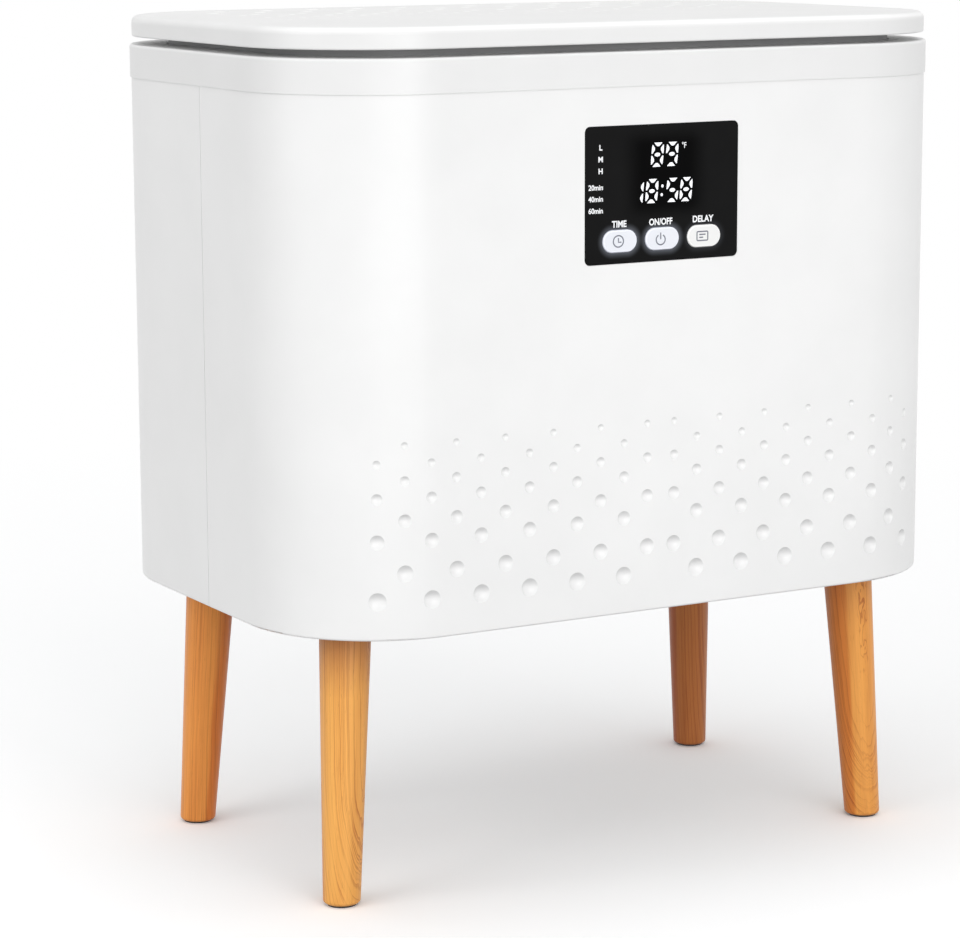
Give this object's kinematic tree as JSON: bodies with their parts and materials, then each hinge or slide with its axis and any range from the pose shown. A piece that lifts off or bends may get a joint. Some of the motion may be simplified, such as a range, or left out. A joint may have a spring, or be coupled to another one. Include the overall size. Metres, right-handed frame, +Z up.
{
  "type": "towel warmer bucket",
  "caption": "Heated bucket for warming towels: rounded housing on splayed wooden legs, hinged lid with a sealing collar, and a front control panel with capsule push buttons.",
  "frame": {"origin": "centre of the footprint, on the floor under the feet", "axes": "+Z up, X across the width, -Y towards the front face with the control panel"},
  "size_m": [0.4014, 0.2674, 0.448],
  "materials": {
    "white_shell": "satin gloss white ABS",
    "white_inner": "matt white moulded plastic",
    "zinc_steel": "zinc plated steel",
    "bucket_aluminium": "brushed anodised aluminium",
    "heater_foil": "silicone heating film",
    "felt": "pale needled felt",
    "foam": "closed-cell foam",
    "thermostat": "dark phenolic",
    "soft_rubber": "matt rubber",
    "brass_insert": "turned brass",
    "black_plastic": "fine textured black",
    "circuit_board": "green solder mask",
    "component_case": "moulded component cases",
    "panel_black": "polished black acrylic",
    "lamp": "diffused clear resin",
    "ribbon_grey": "grey ribbon sheath",
    "leg_wood": "satin lacquered beech",
    "hinge_steel": "satin steel",
    "collar_grey": "dark grey moulded plastic",
    "button_white": "translucent white, back-lit"
  },
  "bodies": {
    "housing": {"front_cover": "white_shell", "rear_cover": "white_shell", "rim_ring": "white_shell", "rim_screws": "zinc_steel", "inner_bucket": "bucket_aluminium", "heater_band": "heater_foil", "heater_pad": "heater_foil", "insulation_sleeve": "felt", "insulation_pad": "felt", "retainer_plate": "zinc_steel", "retainer_nuts": "zinc_steel", "thermal_cutout": "thermostat", "temperature_probe": "zinc_steel", "base_plate": "white_inner", "base_screws": "zinc_steel", "foot_pads": "soft_rubber", "hanger_bolts": "zinc_steel", "leg_inserts": "brass_insert", "cord_gland": "black_plastic", "power_board": "circuit_board", "power_board_screws": "zinc_steel", "power_relay": "component_case", "power_transformer": "component_case", "power_capacitors": "component_case", "terminal_block": "component_case", "panel_lens": "panel_black", "panel_frame": "black_plastic", "control_board": "circuit_board", "control_board_screws": "zinc_steel", "led_display": "black_plastic", "indicator_leds": "lamp", "tact_switches": "black_plastic", "ribbon_cable": "ribbon_grey", "ribbon_plugs": "black_plastic", "leg_front_left": "leg_wood", "leg_front_right": "leg_wood", "leg_rear_left": "leg_wood", "leg_rear_right": "leg_wood", "hinge_bracket_left": "hinge_steel", "hinge_bracket_right": "hinge_steel", "hinge_bracket_screws": "zinc_steel"},
    "lid": {"lid_shell": "white_shell", "lid_base": "white_inner", "lid_base_screws": "zinc_steel", "lid_collar": "collar_grey", "collar_screws": "zinc_steel", "lid_insulation": "foam", "lid_gasket": "soft_rubber", "hinge_leaf_left": "hinge_steel", "hinge_leaf_right": "hinge_steel", "hinge_pin_left": "zinc_steel", "hinge_pin_right": "zinc_steel"},
    "time_key": {"time_button": "button_white"},
    "power_key": {"power_button": "button_white"},
    "delay_key": {"delay_button": "button_white"}
  },
  "joints": [
    {"name": "lid_hinge", "type": "hinge", "parent": "housing", "child": "lid", "pos_m": [0, 0.126, 0.4422], "axis": [-1, 0, 0], "range_deg": [0, 95]},
    {"name": "time_press", "type": "slide", "parent": "housing", "child": "time_key", "axis": [0, 1, 0], "range_m": [0, 0.001], "stiffness_N_per_m": 300},
    {"name": "power_press", "type": "slide", "parent": "housing", "child": "power_key", "axis": [0, 1, 0], "range_m": [0, 0.001], "stiffness_N_per_m": 300},
    {"name": "delay_press", "type": "slide", "parent": "housing", "child": "delay_key", "axis": [0, 1, 0], "range_m": [0, 0.001], "stiffness_N_per_m": 300}
  ]
}
